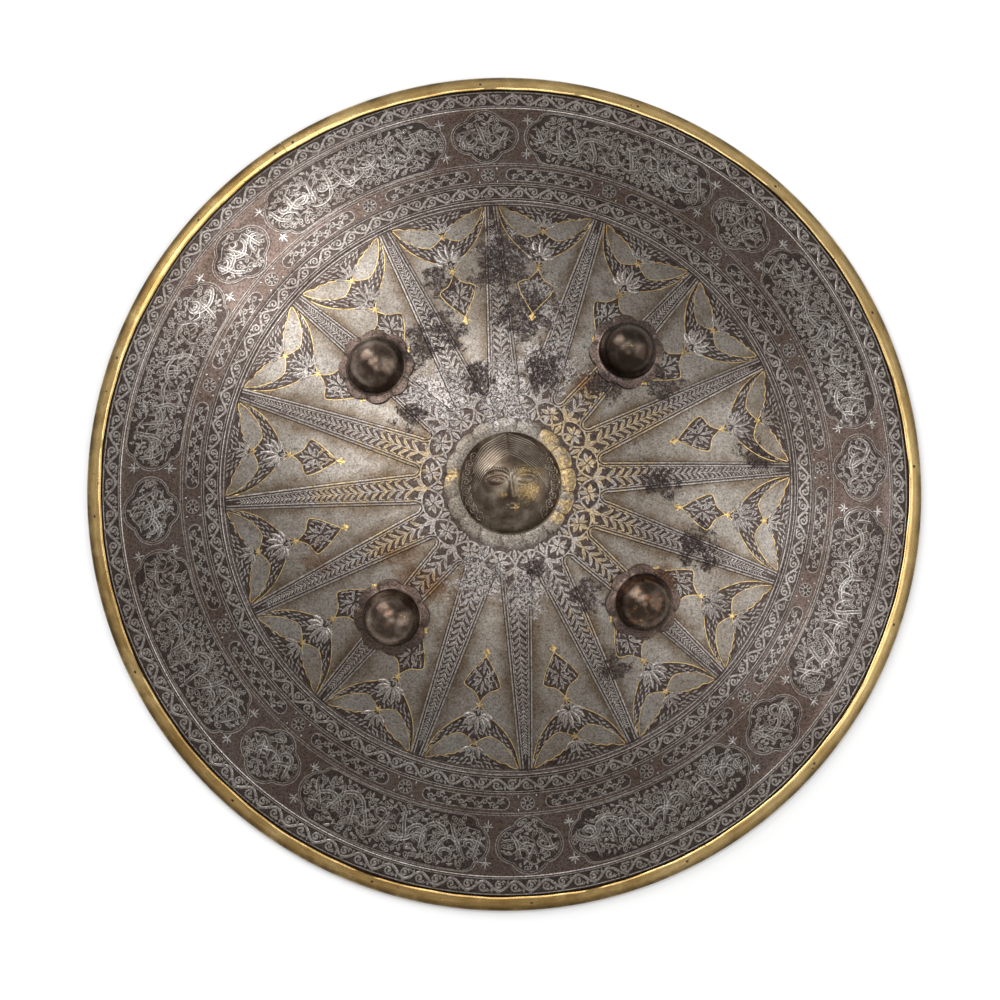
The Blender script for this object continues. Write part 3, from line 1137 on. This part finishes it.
smooth_below(face_mesh, 40)
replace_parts(new_piece("sun_face_boss", face_mesh, "dark_iron", face_iron), "face_boss")

hair_iron, tree, shader = metal("rubbed hair", 0.36)
tone = stops(tree, mottle(tree, 160, 5, 0.6), (0.34, (0.21, 0.165, 0.125)), (0.66, (0.50, 0.43, 0.355)))
tree.links.new(tone, shader.inputs["Base Color"])

hair = []
for side in (-1, 1):
    for n in range(10):
        start = 0.95 - n * 0.047
        drop = n * 0.016
        sweep = [(side * 0.02, start), (side * (0.10 + n * 0.008), start - 0.02 - drop * 0.3)]
        sweep += [(side * (0.29 + n * 0.008), start - 0.09 - drop)]
        sweep += [(side * (0.50 + n * 0.007), start - 0.24 - drop * 1.4)]
        sweep += [(side * (0.67 + n * 0.004), start - 0.47 - drop * 1.4)]
        sweep = [p for p in sweep if math.hypot(*p) < 0.97]
        if len(sweep) > 2:
            strand = curve_through(sweep, 18)
            strand[:, 1] += 0.012 * np.sin(np.linspace(0, 10, 18) + n)
            hair.append(wave(strand * cap_mm, [0.16, 0.30, 0.18]))
    for n in range(8):
        turn = math.radians(50 + n * 12.0)
        x, y = side * 0.865 * math.sin(turn) * cap_mm, 0.865 * math.cos(turn) * cap_mm
        hair.append(curl(x, y, 2.5, 0 if side > 0 else 180, -side, 1.5, 0.24, 16))
        hair.append(leaf(x * 0.92, y * 0.92 - 1.6, 3.4, 180 - side * 20, 0.34, 0.25 * side))
        hair.append(leaf(x * 1.07, y * 1.07 - 0.8, 3.0, 180 - side * 10, 0.30, -0.2 * side))
    for n in range(11):
        t = n / 10
        x, y = side * (0.08 + 0.46 * t), 0.232 + 0.045 * math.sin(math.pi * min(t * 1.15, 1)) - 0.11 * t * t
        brow_hair = np.array([(x - 0.008 * side, y - 0.035), (x + 0.012 * side, y + 0.045)])
        hair.append(wave(brow_hair * cap_mm, [0.12, 0.22]))
raised_work("face_hair", hair, 0.20, "dark_iron", hair_iron, lift=0.04, surface=on_cap)


# The rim is a strip of brass, folded over the bowl's edge and butted at one seam, left of the top.
# It was hammered down by hand, so it is a little wavy, and dirt and wear darken its outer edge.
lap = bowl_radius - mouth_radius
edge_slope = math.atan2(dome_height(mouth_radius) - edge_height, lap)
leg = math.hypot(dome_height(mouth_radius) - edge_height, lap)
slot = sheet / 2 + 0.0003
fold = slot + 0.0013
foot = edge_slope - math.pi / 2
seam = ray_turn * 14.7


def rim_place(x, z):
    """Radius and height of a place in the rim's section: x down the sheet from its mouth, z out of it."""
    sine, cosine = math.sin(edge_slope), math.cos(edge_slope)
    r = mouth_radius - sine * sheet / 2 + cosine * x + sine * z
    return r, dome_height(mouth_radius) - cosine * sheet / 2 - sine * x + cosine * z


brass, tree, shader = metal("hammered brass", 0.32)
place = add(tree, "ShaderNodeTexCoord").outputs["Object"]
flat_place = add(tree, "ShaderNodeVectorMath", {"operation": "MULTIPLY"}, i0=place, i1=(1, 1, 0)).outputs[0]
from_middle = add(tree, "ShaderNodeVectorMath", {"operation": "LENGTH"}, i0=flat_place).outputs["Value"]
heading = add(tree, "ShaderNodeVectorMath", {"operation": "NORMALIZE"}, i0=flat_place).outputs[0]
along_rim = add(
    tree, "ShaderNodeVectorMath", {"operation": "MULTIPLY"}, i0=heading, i1=(14, 14, 0)
).outputs[0]
across_rim = add(tree, "ShaderNodeCombineXYZ", Z=sum_of(tree, "MULTIPLY", from_middle, 900.0)).outputs[0]
streak_place = add(tree, "ShaderNodeVectorMath", {"operation": "ADD"}, i0=along_rim, i1=across_rim).outputs[0]
streaks = add(
    tree, "ShaderNodeTexNoise", Vector=streak_place, Scale=1.6, Detail=5.0, Roughness=0.65
).outputs["Fac"]
tone = mixed(
    tree, stops(tree, mottle(tree, 45, 6, 0.62), (0.36, 0.0), (0.66, 1.0)), (0.95, 0.68, 0.30, 1),
    (0.66, 0.43, 0.16, 1)
)
tone = mixed(tree, 1.0, tone, stops(tree, streaks, (0.30, 0.55), (0.58, 1.0)), "MULTIPLY")
worn_edge = add(tree, "ShaderNodeMapRange", i0=from_middle, i1=0.2264, i2=0.2296, i3=0.0, i4=1.0).outputs[0]
worn_edge = sum_of(
    tree, "MULTIPLY", worn_edge, stops(tree, mottle(tree, 60, 5, 0.6), (0.30, 0.55), (0.60, 1.0))
)
tone = mixed(tree, worn_edge, tone, (0.085, 0.058, 0.024, 1))
tarnish_spots = [(-0.165, -0.160, 0.11), (-0.04, -0.226, 0.09), (-0.165, 0.160, 0.09)]
tarnish = patches(tree, tarnish_spots, mottle(tree, 60, 5, 0.6), (0.36, 0.80))
tone = mixed(tree, tarnish, tone, mixed(tree, 1.0, tone, (0.70, 0.64, 0.56, 1), "MULTIPLY"))
spots = stops(tree, mottle(tree, 330, 4, 0.6), (0.67, 0.0), (0.73, 0.85))
tone = mixed(tree, spots, tone, (0.12, 0.070, 0.030, 1))
finish_metal(tree, shader, tone, stops(tree, streaks, (0.3, 0.30), (0.7, 0.17)), 0.14, streaks)

section = [(0.0004, slot), (0.0, slot + 0.0004), (0.0003, fold - 0.0003), (0.0011, fold)]
section += [(leg * s, fold) for s in (0.35, 0.65)]
section += [
    (leg + fold * math.cos(t), fold * math.sin(t))
    for t in np.linspace(math.pi / 2, foot + math.radians(15), 9)
]
section += [
    (leg + fold * math.cos(t), fold * math.sin(t))
    for t in np.linspace(foot - math.radians(15), -math.pi / 2, 4)
]
section += [
    (0.0011, -fold), (0.0003, -fold + 0.0003), (0.0, -slot - 0.0004), (0.0004, -slot), (leg, -slot),
    (leg, slot)
]
bm = bmesh.new()
verts = [
    bm.verts.new((r * math.sin(seam), r * math.cos(seam), z))
    for r, z in (rim_place(*place) for place in section)
]
loop = [bm.edges.new(pair) for pair in zip(verts, verts[1:] + verts[:1])]
end = bm.faces.new(verts)
gap = 0.0003 / bowl_radius
bmesh.ops.rotate(bm, verts=verts, cent=(0, 0, 0), matrix=Matrix.Rotation(-gap / 2, 3, "Z"))
grown = bmesh.ops.spin(
    bm, geom=verts + loop + [end], cent=(0, 0, 0), axis=(0, 0, 1), angle=-(2 * math.pi - gap), steps=360
)
bmesh.ops.recalc_face_normals(bm, faces=bm.faces)
rim_mesh = mesh_from(bm, "brass_rim")
bent_strip = places_of(rim_mesh)
around = np.arctan2(bent_strip[:, 0], bent_strip[:, 1])
reach = np.hypot(bent_strip[:, 0], bent_strip[:, 1])
hammered = 0.00010 * np.sin(9 * around + 0.6) + 0.00008 * np.sin(
    23 * around + 2.1
) + 0.00005 * np.sin(57 * around)
near_mouth = np.clip((mouth_radius + 0.0040 - reach) / 0.0040, 0, 1) * (bent_strip[:, 2] > 0.0060)
out = hammered * near_mouth * 2.2
bent_strip[:, :2] *= (1 + out / reach)[:, None]
bent_strip[:, 2] -= out * math.tan(edge_slope)
set_places(rim_mesh, bent_strip)
smooth_below(rim_mesh, 45)
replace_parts(new_piece("folded_brass_rim", rim_mesh, "brass", brass), "rim_band")


# Seventeen iron pins hold the rim: sixteen evenly round, but with two beside the seam in place of one.
# Each is a plain pin with its two ends hammered to low heads, dark with rust.
pin_iron = iron_finish("pin iron", 0.10, 0.0)
pin_turns = [k * ray_turn for k in range(rays) if k != round(seam / ray_turn)]
seam_pin = 0.0058 / bowl_radius
pin_turns += [seam - seam_pin, seam + seam_pin]
for number, angle in enumerate(pin_turns, start=1):
    half = fold + 0.0002
    ends = [(0, half), (0.00045, half), (0.00075, half - 0.00006), (0.0009, half - 0.0002)]
    bm = spun_solid(ends + [(r, -z) for r, z in ends[::-1]], 12)
    bm.transform(standing(angle, edge_slope, *rim_place(leg / 2, 0)))
    bmesh.ops.recalc_face_normals(bm, faces=bm.faces)
    mesh = mesh_from(bm, "hammered_pin")
    smooth_below(mesh, 50)
    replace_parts(new_piece(f"hammered_pin_{number:02d}", mesh, "dark_iron", pin_iron), f"rim_pin_{number:02d}")


# The shield lies on a pale floor, seen from just off straight above.
# Soft light comes from the upper left, with weaker lights from the top, the right and near the camera.
bm = bmesh.new()
bmesh.ops.create_grid(bm, x_segments=1, y_segments=1, size=4)
floor_mesh = mesh_from(bm, "floor")
floor = bpy.data.objects.new("floor", floor_mesh)
bpy.context.scene.collection.objects.link(floor)
pale, tree, shader = metal("pale floor", 0.9)
shader.inputs["Metallic"].default_value = 0.0
shader.inputs["Base Color"].default_value = (0.96, 0.96, 0.96, 1)
floor_mesh.materials.append(pale)

roll = math.radians(3.6)
image_up = Vector((math.sin(roll), math.cos(roll), 0))
image_right = Vector((math.cos(roll), -math.sin(roll), 0))
tilt = math.radians(3.85)
away = (image_right * -5.0 + image_up * -9.5).normalized() * math.sin(tilt)
back = Vector((away.x, away.y, math.cos(tilt))).normalized()
distance, view_width = 2.2, 0.5514
aim = Vector((0, 0, 0.003)) - image_right * 0.0031 + image_up * -0.0046
lens_data = bpy.data.cameras.new("camera")
lens_data.sensor_width = 36
lens_data.lens = lens_data.sensor_width * distance / view_width
camera = bpy.data.objects.new("camera", lens_data)
bpy.context.scene.collection.objects.link(camera)
right = image_up.cross(back).normalized()
turn = Matrix((right, back.cross(right), back)).transposed().to_4x4()
turn.translation = aim + back * distance
camera.matrix_world = turn
bpy.context.scene.camera = camera


def lit_from(name, heading, lean, size, power):
    """A square soft light that faces the shield, from a heading round it and a lean from straight above."""
    a, b, away = math.radians(heading), math.radians(lean), 2.6
    place = (away * math.sin(b) * math.sin(a), away * math.sin(b) * math.cos(a), away * math.cos(b))
    data = bpy.data.lights.new(name, "AREA")
    data.size = size
    data.energy = power
    lamp = bpy.data.objects.new(name, data)
    bpy.context.scene.collection.objects.link(lamp)
    lamp.matrix_world = Vector(place).to_track_quat("Z", "Y").to_matrix().to_4x4()
    lamp.location = place


lit_from("key light", 322, 58, 1.6, 29)
lit_from("left light", 300, 24, 0.8, 8.5)
lit_from("top light", 354, 20, 0.8, 9.5)
lit_from("near light", 185, 9, 0.8, 5.5)
lit_from("second light", 100, 50, 2.2, 20)
world = bpy.data.worlds.new("studio")
world.use_nodes = True
world.node_tree.nodes["Background"].inputs["Color"].default_value = (1, 1, 1, 1)
world.node_tree.nodes["Background"].inputs["Strength"].default_value = 0.48
bpy.context.scene.world = world
bpy.context.scene.view_settings.view_transform = "Standard"
